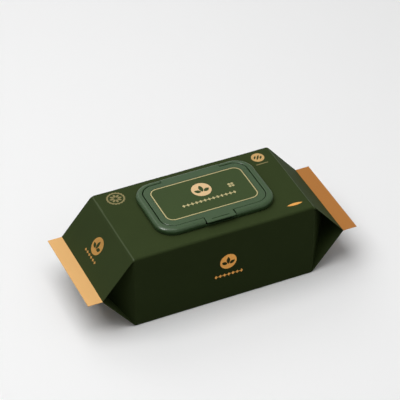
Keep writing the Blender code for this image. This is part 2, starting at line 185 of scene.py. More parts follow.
# %% Lamps
LAMP_DISTANCE = 1.7
AIM = Vector((0.0, 0.0, 0.05))


def make_lamp(name, azimuth, elevation, size, power):
    """A square soft lamp that points at the pack. Azimuth is measured from the pack's right end."""
    turn, rise = radians(azimuth), radians(elevation)
    away = Vector((cos(turn) * cos(rise), sin(turn) * cos(rise), sin(rise)))
    data = bpy.data.lights.new(name, "AREA")
    data.shape = "SQUARE"
    data.size = size
    data.energy = power
    lamp = put(name, data)
    lamp.location = AIM + away * LAMP_DISTANCE
    lamp.rotation_mode = "QUATERNION"
    lamp.rotation_quaternion = (-away).to_track_quat("-Z", "Y")
    return lamp


make_lamp("high_lamp", 180, 75, 1.5, 21.5)
make_lamp("front_lamp", 285, 60, 1.2, 2.4)
make_lamp("back_lamp", 95, 45, 0.85, 3.6)
rim_lamp = make_lamp("rim_lamp", 188, 44, 0.7, 40.0)
rim_lamp.visible_diffuse = False    # it only mirrors in the rim of the cap
print("lamps made")

# %% [markdown]
# ## Finishes
#
# Every finish starts from the Principled shader. What makes a surface read as real is small
# unevenness: a gloss that wanders a little and a fine grain. We draw both with noise in the
# piece's own coordinates, so no picture file is needed and the grain stays put from every side.

# %% A helper that builds a finish
DRIFT_SCALE = 45.0          # the slow changes are about two centimetres across


def finish(name, colour, roughness, grain_size, grain_height, tint=0.0, gloss_drift=0.05,
           metallic=0.0, specular=0.5):
    """A Principled material with drifting colour and gloss, and a fine grain."""
    look = bpy.data.materials.new(name)
    look.use_nodes = True
    tree = look.node_tree
    shader = tree.nodes["Principled BSDF"]
    shader.inputs["Metallic"].default_value = metallic
    shader.inputs["Specular IOR Level"].default_value = specular
    place = add_node(tree, "TexCoord")

    drift = add_node(tree, "TexNoise", {"Scale": DRIFT_SCALE, "Detail": 3.0})
    link(place, "Object", drift, "Vector")
    colours = add_node(tree, "ValToRGB")
    colours.name = "colours"
    ramp = colours.color_ramp
    ramp.elements[0].position, ramp.elements[1].position = 0.3, 0.7
    ramp.elements[0].color = (*[part * (1 - tint) for part in colour], 1)
    ramp.elements[1].color = (*[part * (1 + tint) for part in colour], 1)
    link(drift, "Fac", colours, "Fac")
    link(colours, "Color", shader, "Base Color")

    gloss = add_node(tree, "MapRange", {"To Min": roughness - gloss_drift, "To Max": roughness + gloss_drift})
    link(drift, "Fac", gloss, "Value")
    link(gloss, "Result", shader, "Roughness")

    grain = add_node(tree, "TexNoise", {"Scale": 1.0 / grain_size, "Detail": 2.0})
    link(place, "Object", grain, "Vector")
    bump = add_node(tree, "Bump", {"Distance": grain_height})
    bump.name = "bump"
    link(grain, "Fac", bump, "Height")
    link(bump, "Normal", shader, "Normal")
    return look


print("finish helper ready")

# %% [markdown]
# The film is a matt laminate, dark olive. A thin line along each end fold is glossier and painted a
# lighter green, a painted highlight. Its gold ends are the same film printed with a satin metal ink.
# Such ink looks pale where it mirrors the bright side of a room and amber where it doesn't, and that
# is painted into its colour: a painted reflection at the left end, painted shade at the right end.
# The cap is moulded in a fresher green, with the fine sparked grain of its mould, and the label in the
# cover is printed. The gold prints are thin metal ink, which mirrors the pale room, so they stay
# bright even on the dark front.

# %% The finishes of this pack
SEAL_X = 0.125              # middle of the pack to the seal, where the gold starts
FILM_GREEN = (0.032, 0.047, 0.014)
# lighter than the film: a painted highlight along the end folds
FOLD_HIGHLIGHT_GREEN = (0.044, 0.064, 0.021)
# the seal's gold is painted paler at the left end, a painted reflection, and darker at the right end, painted
# shade
SEAL_GOLD_PAINTED_SHEEN = (0.60, 0.34, 0.115)
SEAL_GOLD_PAINTED_SHADE = (0.42, 0.16, 0.022)
CAP_GREEN = (0.039, 0.079, 0.029)
LABEL_GREEN = (0.036, 0.060, 0.016)
WIPE_WHITE = (0.82, 0.84, 0.84)
TAPE_CLEAR = (0.70, 0.69, 0.62)

matt_film = finish("matt_olive_film", FILM_GREEN, 0.70, 0.0012, 0.00002, tint=0.04, specular=0.04)
# the fold line: a painted highlight in a lighter green, with a real, slightly higher gloss
fold_highlight_film = finish("fold_painted_highlight_film", FOLD_HIGHLIGHT_GREEN, 0.50, 0.0012, 0.00002, tint=0.04, specular=0.15)
gold_seal = finish("satin_gold_seal_painted_light", SEAL_GOLD_PAINTED_SHEEN, 0.42, 0.0010, 0.00002, metallic=0.5)


def ink(name, colour, roughness, metallic):
    """Metal ink, printed thin on film or label."""
    return finish(name, colour, roughness, 0.0008, 0.00001, tint=0.04, metallic=metallic)


def paint_sheen_and_shade_along_pack(look, left, right):
    """Let a finish's colour change from the left end to the right end: painted reflection at the left,
    painted shade at the right.
    """
    tree = look.node_tree
    place = add_node(tree, "TexCoord")
    parts = add_node(tree, "SeparateXYZ")
    along = add_node(tree, "MapRange", {"From Min": -SEAL_X, "From Max": SEAL_X})
    link(place, "Object", parts, "Vector")
    link(parts, "X", along, "Value")
    ramp = tree.nodes["colours"].color_ramp
    ramp.elements[0].position, ramp.elements[1].position = 0.0, 1.0
    ramp.elements[0].color, ramp.elements[1].color = (*left, 1), (*right, 1)
    link(along, "Result", tree.nodes["colours"], "Fac")


# paint the seal's gold from its painted reflection at the left end to its painted shade at the right end
paint_sheen_and_shade_along_pack(gold_seal, SEAL_GOLD_PAINTED_SHEEN, SEAL_GOLD_PAINTED_SHADE)
cap_plastic = finish("sparked_cap_green", CAP_GREEN, 0.28, 0.0006, 0.00001, tint=0.03,
                     gloss_drift=0.03, specular=0.28)
label_print = finish("satin_label_green", LABEL_GREEN, 0.60, 0.0008, 0.00001, tint=0.03,
                     specular=0.12)
line_gold = ink("pale_gold_line", (0.44, 0.38, 0.18), 0.40, 0.6)
print_gold = ink("gold_ink", (0.78, 0.36, 0.075), 0.38, 0.7)
cream_gold = ink("cream_gold_ink", (0.66, 0.45, 0.23), 0.45, 0.4)
slope_gold = ink("deep_gold_ink", (0.42, 0.21, 0.035), 0.45, 0.4)
badge_gold = ink("badge_gold_ink", (0.52, 0.32, 0.11), 0.45, 0.4)
pale_gold = ink("pale_gold_ink", (0.21, 0.175, 0.065), 0.40, 0.6)
tape_look = finish("clear_tape", TAPE_CLEAR, 0.35, 0.0010, 0.00002, tint=0.02)
print("finishes made")

# %% [markdown]
# ## Building blocks for moulded pieces
#
# Most pieces here are stacks of outlines: a rounded rectangle that grows, shrinks and moves up or
# down. If every outline has the same number of points, joining each to the next gives a clean skin
# of four-sided faces. That is a loft, and it rounds corners far better than cutting boxes.

# %% Outlines and lofts
CORNER_STEPS = 18


def quarter(steps):
    """The angles of a quarter turn, from 0 up."""
    return [pi / 2 * step / steps for step in range(steps + 1)]


def rounded_outline(left, right, front, rear, radius, steps=CORNER_STEPS):
    """Points of a rectangle with round corners, anticlockwise."""
    corners = (
        (right - radius, front + radius, -90),
        (right - radius, rear - radius, 0),
        (left + radius, rear - radius, 90),
        (left + radius, front + radius, 180),
    )
    points = []
    for x, y, start in corners:
        for step in range(steps + 1):
            angle = radians(start + 90 * step / steps)
            points.append((x + radius * cos(angle), y + radius * sin(angle)))
    return points


def ring(edges, radius, inset, height):
    """A rounded rectangle moved in by a distance, at a height."""
    left, right, front, rear = edges
    corner = max(radius - inset, 0.0004)
    flat = rounded_outline(left + inset, right - inset, front + inset, rear - inset, corner)
    return [(x, y, height) for x, y in flat]


def ring_stack(edges, radius, section):
    """A ring for each step of a section, which is a list of insets and heights."""
    return [ring(edges, radius, inset, height) for inset, height in section]


def add_object(name, bm, look=None, sharp_angle=35):
    """An object for the mesh, with smooth shading that keeps real edges sharp."""
    bmesh.ops.recalc_face_normals(bm, faces=bm.faces)
    mesh = bpy.data.meshes.new(name)
    bm.to_mesh(mesh)
    bm.free()
    thing = put(name, mesh)
    if look:
        mesh.materials.append(look)
    mesh.shade_smooth()
    mesh.set_sharp_from_angle(angle=radians(sharp_angle))
    return thing


def bridge(bm, low, high, skipped=()):
    """Four-sided faces between two closed rows, but for the steps that are skipped."""
    for index in range(len(low)):
        after = (index + 1) % len(low)
        if index not in skipped:
            bm.faces.new((low[index], low[after], high[after], high[index]))


def loft(name, rings, look, closed=False):
    """Skin a stack of rings. A closed stack joins its last ring to its first."""
    bm = bmesh.new()
    rows = [[bm.verts.new(point) for point in points] for points in rings]
    pairs = list(zip(rows, rows[1:]))
    if closed:
        pairs.append((rows[-1], rows[0]))
    for low, high in pairs:
        bridge(bm, low, high)
    if not closed:
        bm.faces.new(list(reversed(rows[0])))
        bm.faces.new(rows[-1])
    return add_object(name, bm, look)


def block(low, high, ease=0.0):
    """A box between two corners, with its edges eased."""
    bm = bmesh.new()
    bmesh.ops.create_cube(bm, size=1.0)
    low, high = Vector(low), Vector(high)
    bmesh.ops.scale(bm, verts=bm.verts, vec=high - low)
    bmesh.ops.translate(bm, verts=bm.verts, vec=(low + high) / 2)
    if ease:
        bmesh.ops.bevel(bm, geom=bm.edges[:], offset=ease, segments=4, affect="EDGES", profile=0.5)
    return add_object("tool", bm)


def shape_with(piece, operation, *tools):
    """Join or cut a piece with others, keep the result and remove the tools."""
    for tool in tools:
        step = piece.modifiers.new(tool.name, "BOOLEAN")
        step.operation = operation
        step.solver = "EXACT"
        step.object = tool
    bpy.context.view_layer.update()
    seen = piece.evaluated_get(bpy.context.evaluated_depsgraph_get())
    shaped = bpy.data.meshes.new_from_object(seen)
    piece.modifiers.clear()
    piece.data = shaped
    for tool in tools:
        bpy.data.objects.remove(tool, do_unlink=True)


def smooth_flats(piece, sharp_angle=35):
    """Shade the roundings smooth and the flats flat."""
    piece.data.shade_smooth()
    piece.data.set_sharp_from_angle(angle=radians(sharp_angle))
    piece.modifiers.new("flat_faces", "WEIGHTED_NORMAL").keep_sharp = True


print("building blocks ready")

# %% [markdown]
# ## The film bag: its folds as numbers
#
# The bag is one sheet. Along the middle it is a box with soft edges. At each end the top and the
# underside run together to a flat seal, and the two sides fold inwards between them, as on a
# wrapped parcel. All of that is one rule: at each place along the pack we can say how high the top
# is, how high the underside is, and how far the sides have folded in.

# %% Sizes of the film bag
POUCH_LOW, POUCH_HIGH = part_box("film_pouch")
TOP_Z = POUCH_HIGH.z
PANEL_HALF = 0.0925         # middle to the fold where an end slope starts
SEAL_Z = 0.042
FIN_HALF = 0.00035          # half the thickness of the flat seal
FLAP_THICK = 0.00055        # two layers of film folded back on each other
FLAP_OPENS = 0.12           # share of the slope over which a flap flattens
TUCK_DEPTH = TOP_Z / 2
TOP_FOLD = 0.0022           # roundings of the folds
BOTTOM_FOLD = 0.0010
TUCK_FOLD = 0.0005
FRONT_TOP_RADIUS = 0.0027
REAR_TOP_RADIUS = 0.0013
UNDER_RADIUS = 0.0014
BACK_SEAL = (0.0, 0.012)    # the lengthwise seal, folded flat under the pack
BACK_SEAL_THICK = 0.00025
FILM_THICK = 0.0002


def fold_ramp(distance, radius):
    """Zero before a fold and the distance past it, with a round turn between."""
    if distance <= -radius:
        return 0.0
    if distance >= radius:
        return distance
    return (distance + radius) ** 2 / (4 * radius)


def ease(value):
    """From 0 to 1 with soft ends."""
    value = min(max(value, 0.0), 1.0)
    return value * value * (3 - 2 * value)


def end_share(x, radius):
    """How far along an end slope we are: 0 on the panel, 1 at the seal."""
    return min(fold_ramp(abs(x) - PANEL_HALF, radius) / (SEAL_X - PANEL_HALF), 1.0)


print("bag from", POUCH_LOW, "to", POUCH_HIGH)

# %% [markdown]
# Now one cross-section. We walk round it in the same order every time: along the top, down one
# side, along the underside, and up the other side. Down a side we pass the edge of the upper flap,
# go in under it, down the tucked wall, and out again over the lower flap. Where the sides haven't
# folded yet, those extra steps fall on one point and are merged afterwards.

# %% One cross-section of the bag
OUT, IN, DOWN = Vector((1, 0)), Vector((-1, 0)), Vector((0, -1))
EDGE_TURN = 6
FLAP_TURN = 4
CREASE_TURN = 2
CREASE = 0.0003             # rounding where a flap meets the tucked wall
FIN_SQUEEZE = 0.985         # keeps the two flaps from touching in the seal
FLAP_POINTS = 7
WALL_POINTS = 15


def turn_points(corner, before, after, radius, steps):
    """Points that round a square corner, from one direction to the next."""
    centre = corner - before * radius + after * radius
    return [centre + before * radius * sin(a) - after * radius * cos(a) for a in quarter(steps)]


def between(start, end, count):
    """Evenly spaced points strictly between two points."""
    return [start.lerp(end, (step + 1) / (count + 1)) for step in range(count)]


def flap_thickness(share, radius):
    """A flap is as thick as the fold's rounding at the corner, and soon flattens."""
    flat = FLAP_THICK + (FIN_HALF * FIN_SQUEEZE - FLAP_THICK) * share
    return radius + (flat - radius) * ease(share / FLAP_OPENS)


def side_points(top, bottom, tuck, share, top_radius):
    """One side of a section from top to bottom, as distance from the middle and height."""
    half = POUCH_HIGH.y
    upper = flap_thickness(share, top_radius)
    lower = flap_thickness(share, UNDER_RADIUS)
    upper_in = min(upper / 2, tuck / 2)
    lower_in = min(lower / 2, tuck / 2)
    crease = min(CREASE, tuck / 2, max((top - upper - bottom - lower) / 2, 0.0))
    under_flap = Vector((half - tuck, top - upper))
    over_flap = Vector((half - tuck, bottom + lower))
    points = turn_points(Vector((half, top)), OUT, DOWN, upper - upper_in, EDGE_TURN)
    flap = turn_points(Vector((half, top - upper)), DOWN, IN, upper_in, FLAP_TURN)
    inner = turn_points(under_flap, IN, DOWN, crease, CREASE_TURN)
    points += flap + between(flap[-1], inner[0], FLAP_POINTS) + inner
    outer = turn_points(over_flap, DOWN, OUT, crease, CREASE_TURN)
    flap = turn_points(Vector((half, bottom + lower)), OUT, DOWN, lower_in, FLAP_TURN)
    points += between(inner[-1], outer[0], WALL_POINTS) + outer
    points += between(outer[-1], flap[0], FLAP_POINTS) + flap
    points += turn_points(Vector((half, bottom)), DOWN, IN, lower - lower_in, EDGE_TURN)
    return points


POCKET_START = EDGE_TURN + 1 + FLAP_TURN
POCKET_END = POCKET_START + 2 * FLAP_POINTS + 2 * (CREASE_TURN + 1) + WALL_POINTS + 1
SIDE_COUNT = 2 * (EDGE_TURN + 1) + 2 * (FLAP_TURN + 1) + 2 * FLAP_POINTS + 2 * (CREASE_TURN + 1) + WALL_POINTS
print("points down one side:", SIDE_COUNT)

# %% [markdown]
# The underside is flat but for the lengthwise seal, where the sheet's two edges meet and are folded
# flat. It is one more layer of film, so the underside rises over it by a quarter of a millimetre.

# %% Across the top and the underside
TOP_POINTS = 30
UNDER_STEPS = 30
SEAL_EDGE = 0.0002
SEAL_RUNOUT = 0.010


def underside_places():
    """Places across the underside, from rear to front, with close pairs at the back seal."""
    reach = POUCH_HIGH.y - UNDER_RADIUS
    even = [reach - 2 * reach * step / UNDER_STEPS for step in range(1, UNDER_STEPS)]
    seal = [edge + nudge for edge in BACK_SEAL for nudge in (-SEAL_EDGE, SEAL_EDGE)]
    clear = [y for y in even if min(abs(y - edge) for edge in BACK_SEAL) > 4 * SEAL_EDGE]
    return sorted(clear + seal, reverse=True)


UNDER_PLACES = underside_places()


def underside_rise(y, share):
    """How far the film stands off what the pack stands on: one layer, next to the back seal."""
    if BACK_SEAL[0] < y < BACK_SEAL[1]:
        return 0.0
    away = max(BACK_SEAL[0] - y, y - BACK_SEAL[1])
    return BACK_SEAL_THICK * (1 - ease(away / SEAL_RUNOUT)) * (1 - ease((share - 0.85) / 0.15))


def section(x, past_seal=False):
    """The whole cross-section at one place along the pack."""
    share = 1.0 if past_seal else end_share(x, TUCK_FOLD)
    top = TOP_Z - (TOP_Z - SEAL_Z - FIN_HALF) * end_share(x, TOP_FOLD)
    bottom = (SEAL_Z - FIN_HALF) * end_share(x, BOTTOM_FOLD)
    tuck = 0.0 if past_seal else TUCK_DEPTH * share
    rear = side_points(top, bottom, tuck, share, REAR_TOP_RADIUS)
    front = [(-w, z) for w, z in side_points(top, bottom, tuck, share, FRONT_TOP_RADIUS)]
    across = [(front[0][0] + (rear[0][0] - front[0][0]) * step / (TOP_POINTS + 1), top)
              for step in range(1, TOP_POINTS + 1)]
    under = [(y, bottom + underside_rise(y, share)) for y in UNDER_PLACES]
    return [Vector((x, y, z)) for y, z in (*across, *rear, *under, *front[::-1])]


print("points round one section:", len(section(0.0)))

# %% [markdown]
# Real film is never quite flat: it wanders by a fraction of a millimetre. We add a slow drift that
# depends only on the place in space, so that the two layers of a flap move together and never cut
# through each other. It fades out under the cap, which holds the film flat, and on the floor.

# %% The slight drift of film
DRIFT = 0.00022
DRIFT_WAVE = 0.042
DRIFT_FADE = 0.012          # it fades out over this much
noise.seed_set(5)
CAP_LOW, CAP_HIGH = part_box("cap_base")


def film_drift(point):
    """How far the film at this place stands off its ideal plane."""
    wave = noise.noise_vector(point / DRIFT_WAVE)
    outside = max(CAP_LOW.x - point.x, point.x - CAP_HIGH.x,
                  CAP_LOW.y - point.y, point.y - CAP_HIGH.y, 0.0)
    under_cap = ease(outside / DRIFT_FADE) if point.z > TOP_Z * 0.9 else 1.0
    off_floor = ease(point.z / DRIFT_FADE)
    return Vector((wave.x * off_floor, wave.y * off_floor, wave.z * off_floor * under_cap)) * DRIFT


print("drift in the middle of the front:", film_drift(Vector((0, -0.05, 0.04))))

# %% Rows along the bag
BODY_STEP = 0.0042
SLOPE_STEP = 0.0022
FOLD_STEP = 0.00035
FOLD_MARGIN = 0.0004
FIN_STEPS = 6


def spaced(start, end, step):
    """Evenly spaced places from start to end, about a step apart."""
    count = max(1, round((end - start) / step))
    return [start + (end - start) * index / count for index in range(count + 1)]


def half_places():
    """Places from the middle of the pack to the seal, close together at the fold."""
    near = TOP_FOLD + FOLD_MARGIN
    body = spaced(0.0, PANEL_HALF - near, BODY_STEP)
    fold = spaced(PANEL_HALF - near, PANEL_HALF + near, FOLD_STEP)
    slope = spaced(PANEL_HALF + near, SEAL_X, SLOPE_STEP)
    return body + fold[1:] + slope[1:]


def pouch_rows():
    """Every row of the bag from left to right: its points, and whether it is past the seal."""
    inner = half_places()
    fin = spaced(SEAL_X, POUCH_HIGH.x, (POUCH_HIGH.x - SEAL_X) / FIN_STEPS)[1:]
    fin.insert(0, SEAL_X + FOLD_MARGIN)
    right = [(x, False) for x in inner] + [(x, True) for x in fin]
    left = [(-x, past) for x, past in right[:0:-1]]
    rows = []
    for x, past in left + right:
        points = section(x, past)
        rows.append(([point + film_drift(point) for point in points], past))
    return rows


print("rows along the bag:", len(pouch_rows()))

# %% [markdown]
# With the rows in place the bag is a loft again, with one exception. Past the seal the tucked sides
# are pressed shut, so the faces of the pocket stop there. Points that fell together are merged,
# which closes the pocket along a single line. Faces past the seal get the gold finish, and a thin
# line of them along each end fold gets a glossier, lighter green: a painted highlight.

# %% Skin the bag
MERGE = 0.00003
FOLD_HIGHLIGHT_HALF_WIDTH = 0.0006         # half the width of the painted highlight along each end fold
APERTURE_LENGTH = 0.062
APERTURE_WIDTH = 0.028
APERTURE_MARGIN = 0.005
LABEL_LOW, LABEL_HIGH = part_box("cover_label")
MOUTH_X = (CAP_LOW.x + CAP_HIGH.x) / 2
MOUTH_Y = (LABEL_LOW.y + LABEL_HIGH.y) / 2


def pocket_slots():
    """The steps round a section that belong to the two pockets."""
    rear = TOP_POINTS
    front_end = TOP_POINTS + SIDE_COUNT + len(UNDER_PLACES) + SIDE_COUNT
    slots = set(range(rear + POCKET_START, rear + POCKET_END))
    return slots | set(range(front_end - 1 - POCKET_END, front_end - 1 - POCKET_START))


def make_bag():
    """The film bag: loft, merged folds, closed ends."""
    rows = pouch_rows()
    pockets = pocket_slots()
    bm = bmesh.new()
    grid = [[bm.verts.new(point) for point in points] for points, past in rows]
    at_seal = [past or abs(abs(points[0].x) - SEAL_X) < SLOPE_STEP / 2 for points, past in rows]
    for row in range(len(grid) - 1):
        pressed = at_seal[row] and at_seal[row + 1]
        bridge(bm, grid[row], grid[row + 1], pockets if pressed else ())
    bmesh.ops.remove_doubles(bm, verts=bm.verts, dist=MERGE)
    bmesh.ops.dissolve_degenerate(bm, edges=bm.edges, dist=1e-6)
    open_ends = [edge for edge in bm.edges if edge.is_boundary]
    bmesh.ops.edgeloop_fill(bm, edges=open_ends)
    print("edges of the bag that don't close:", sum(not edge.is_manifold for edge in bm.edges))
    return bm


bag_mesh = make_bag()
print("bag faces:", len(bag_mesh.faces))

# %% [markdown]
# Under the cap the top film has a long hole with round ends, where the wipes come out. A boolean
# would do, but the film is flat there, so it is simpler to take out the faces over the hole and to
# fill the ring between what is left and the hole's outline. Only then does the film get its
# thickness, inwards.

# %% Cut the hole and thicken the film
def over_aperture(point):
    """True on the top film, in the block of faces round the hole."""
    return (point.z > TOP_Z - FILM_THICK
            and abs(point.x - MOUTH_X) < APERTURE_LENGTH / 2 + APERTURE_MARGIN
            and abs(point.y - MOUTH_Y) < APERTURE_WIDTH / 2 + APERTURE_MARGIN)


def cut_aperture(bm):
    """The die-cut hole in the top film."""
    block_faces = [face for face in bm.faces if all(over_aperture(vert.co) for vert in face.verts)]
    bmesh.ops.delete(bm, geom=block_faces, context="FACES")
    outer = [edge for edge in bm.edges if edge.is_boundary]
    edges = (MOUTH_X - APERTURE_LENGTH / 2, MOUTH_X + APERTURE_LENGTH / 2,
             MOUTH_Y - APERTURE_WIDTH / 2, MOUTH_Y + APERTURE_WIDTH / 2)
    outline = [bm.verts.new(point) for point in ring(edges, APERTURE_WIDTH / 2 - 0.0001, 0.0, TOP_Z)]
    inner = [bm.edges.new((vert, outline[index - 1])) for index, vert in enumerate(outline)]
    bmesh.ops.triangle_fill(bm, use_beauty=True, use_dissolve=False, edges=outer + inner)


cut_aperture(bag_mesh)
bag = add_object("film_bag", bag_mesh, matt_film, sharp_angle=50)
bag.data.materials.append(gold_seal)
bag.data.materials.append(fold_highlight_film)
# faces along the top of each end fold get the painted highlight
for face in bag.data.polygons:
    place = abs(face.center.x)
    on_fold = abs(place - PANEL_HALF) < FOLD_HIGHLIGHT_HALF_WIDTH and face.center.z > TOP_Z - TOP_FOLD
    face.material_index = 1 if place > SEAL_X else 2 if on_fold else 0
wall = bag.modifiers.new("film_thickness", "SOLIDIFY")
wall.thickness = FILM_THICK
wall.offset = -1.0
smooth_flats(bag, 50)
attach(bag, "pack")
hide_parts("film_pouch")
print("film bag:", len(bag.data.polygons), "faces before its thickness")

# %% [markdown]
# ## The pile of wipes
#
# Through the hole you see the top wipe, folded over once, with its soft edge running along the
# middle. Below it lie about eighty more, and from the side each one is a thin line. A grid with
# uneven spacing makes the top, and rings that step in and out make the layered sides.

# %% Pile of wipes
PILE_LOW, PILE_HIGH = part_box("wipes_stack")
WIPE_COUNT = 80
WIPE_STEP = 0.0009
WIPE_WAVE = 0.00030
LAYER_INSET = 0.00022
TOP_FALL, TOP_FALL_RUN = 0.0015, 0.004    # the top wipe rounds off at the edges of the pile
HALF_RUN = 0.0012           # the step of the folded half
SEEN = (0.036, 0.020)       # half the stretch that the mouth shows, which gets a fine grid
WIDE = 0.009
SIDES_START = 0.003


def pile_height(x, y):
    """Height of the top wipe, with the step where its upper half ends."""
    folded = 1 - ease((y - MOUTH_Y + HALF_RUN / 2) / HALF_RUN)
    soft = noise.noise(Vector((x * 60, y * 38, 0.4))) * WIPE_WAVE
    ripple = sin(x * 420 + 2.2 * noise.noise(Vector((x * 30, 0, 2.0)))) * WIPE_WAVE * 0.35
    inside = min(x - PILE_LOW.x, PILE_HIGH.x - x, y - PILE_LOW.y, PILE_HIGH.y - y)
    fall = TOP_FALL * (1 - ease(inside / TOP_FALL_RUN))
    return PILE_HIGH.z - WIPE_STEP * (1 - folded) - WIPE_WAVE * 1.4 + soft + ripple - fall


def grid_lines(low, high, fine_low, fine_high, coarse, fine):
    """Lines that lie close together in one stretch and wider apart outside it."""
    outer = spaced(low, fine_low, coarse)[:-1]
    return outer + spaced(fine_low, fine_high, fine) + spaced(fine_high, high, coarse)[1:]


def make_pile():
    """The pile: a soft top over layered sides."""
    xs = grid_lines(PILE_LOW.x, PILE_HIGH.x, MOUTH_X - SEEN[0], MOUTH_X + SEEN[0], WIDE, 0.0012)
    ys = grid_lines(PILE_LOW.y, PILE_HIGH.y, MOUTH_Y - SEEN[1], MOUTH_Y + SEEN[1], WIDE, 0.0008)
    bm = bmesh.new()
    top = [[bm.verts.new((x, y, pile_height(x, y))) for x in xs] for y in ys]
    for row in range(len(ys) - 1):
        for column in range(len(xs) - 1):
            bm.faces.new((top[row][column], top[row][column + 1],
                          top[row + 1][column + 1], top[row + 1][column]))
    edge = top[0] + [row[-1] for row in top[1:]] + top[-1][-2::-1] + [row[0] for row in top[-2:0:-1]]
    middle = Vector(((PILE_LOW.x + PILE_HIGH.x) / 2, (PILE_LOW.y + PILE_HIGH.y) / 2, 0))
    start = PILE_HIGH.z - WIPE_STEP - SIDES_START
    pitch = (start - PILE_LOW.z) / WIPE_COUNT
    above = edge
    for layer in range(2 * WIPE_COUNT + 1):
        inset = LAYER_INSET if layer % 2 else 0.0
        height = start - pitch / 2 * layer
        loop = []
        for vert in edge:
            away = vert.co - middle
            x = middle.x + away.x - copysign(min(inset, abs(away.x)), away.x)
            y = middle.y + away.y - copysign(min(inset, abs(away.y)), away.y)
            loop.append(bm.verts.new((x, y, height)))
        bridge(bm, above, loop)
        above = loop
    bm.faces.new(list(reversed(above)))
    return bm


print("layers in the pile:", WIPE_COUNT)

# %% [markdown]
# Nonwoven cloth is a felt of fine fibres, pressed with a regular pattern of small dots so that it
# holds together. Two bumps make it: a fine noise for the fibres, and a regular wave in both
# directions for the pressed dots. A little light passes into it, as it is wet and thin.

# %% Nonwoven finish, and the pile in place
FIBRE_SIZE = 0.0005
DOT_PITCH = 0.0016
DOT_DEPTH = 0.00012
LIGHT_REACH = 0.002


def nonwoven():
    """Moist white nonwoven with pressed dots."""
    look = finish("moist_nonwoven", WIPE_WHITE, 0.62, FIBRE_SIZE, 0.00008, tint=0.02)
    tree = look.node_tree
    shader = tree.nodes["Principled BSDF"]
    shader.inputs["Subsurface Weight"].default_value = 0.25
    shader.inputs["Subsurface Radius"].default_value = (LIGHT_REACH, LIGHT_REACH, LIGHT_REACH)
    place = add_node(tree, "TexCoord")
    dots = add_node(tree, "Math")
    dots.operation = "MULTIPLY"
    for index, direction in enumerate(("X", "Y")):
        wave = add_node(tree, "TexWave", {"Scale": pi / (10 * DOT_PITCH)})
        wave.bands_direction = direction
        link(place, "Object", wave, "Vector")
        link(wave, "Fac", dots, index)
    pressed = add_node(tree, "Bump", {"Distance": DOT_DEPTH})
    link(dots, "Value", pressed, "Height")
    link(pressed, "Normal", tree.nodes["bump"], "Normal")
    return look


pile = add_object("pile_of_wipes", make_pile(), nonwoven(), sharp_angle=60)
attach(pile, "pack")
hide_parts("wipes_stack")
print("pile:", len(pile.data.polygons), "faces")

# %% [markdown]
# ## The ring of tape
#
# Double-sided tape holds the cap to the film. The rim hides it, and its plain ring is already the
# right shape, so the construction model's piece stays and only gets its finish.

# %% Tape
tape = frame["nodes"]["adhesive_ring"]
tape.data.materials.clear()
tape.data.materials.append(tape_look)
print("tape keeps its own shape")

# %% [markdown]
# ## The cap's frame
#
# The frame is one moulding: a fat rounded rim, a sunken floor, and a mouth with a raised lip. Its
# section is the same all the way round, so we write the section as a list of steps from the outer
# wall over the rim, down to the floor, over the lip and back along the underside. Each step is a
# rounded rectangle, and the loft turns the list into the moulding.

# %% Sizes of the cap
CAP_EDGES = (CAP_LOW.x, CAP_HIGH.x, CAP_LOW.y, CAP_HIGH.y)
CAP_TOP = CAP_HIGH.z
CAP_CORNER = 0.019
NOSE_RADIUS = 0.0032
UNDERCUT = 0.0011           # the rim's wall runs in again below its nose
RIM_WIDTH = 0.0065
RIM_REAR = 0.0046
RIM_EASE = 0.0008
RECESS_CORNER = 0.0135
RECESS = (CAP_LOW.x + RIM_WIDTH, CAP_HIGH.x - RIM_WIDTH, CAP_LOW.y + RIM_WIDTH, CAP_HIGH.y - RIM_REAR)
FLOOR_THICK = 0.0015
FLOOR_TOP = CAP_LOW.z + FLOOR_THICK
MOUTH_HALF = 0.037
MOUTH = (MOUTH_X - MOUTH_HALF, MOUTH_X + MOUTH_HALF, MOUTH_Y - 0.020, MOUTH_Y + 0.020)
MOUTH_CORNER = 0.015
LIP_WALL = 0.0014
LIP_RISE = 0.0022
FILLET = 0.0004
TAPE_LOW, TAPE_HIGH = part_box("adhesive_ring")
TAPE_PLAY = 0.0003
TAPE_WIDTH = 0.004
TAPE_OUTER = TAPE_LOW.x - CAP_LOW.x - TAPE_PLAY
TAPE_INNER = TAPE_OUTER + TAPE_WIDTH + 2 * TAPE_PLAY
TAPE_ROOM = TAPE_HIGH.z + TAPE_PLAY


def arc(centre_inset, centre_height, radius, start, end, steps):
    """Steps of a section that follow an arc. Angles are measured from outwards, turning up."""
    angles = [radians(start + (end - start) * step / steps) for step in range(steps + 1)]
    return [(centre_inset - radius * cos(angle), centre_height + radius * sin(angle))
            for angle in angles]


print("cap from", CAP_LOW, "to", CAP_HIGH)

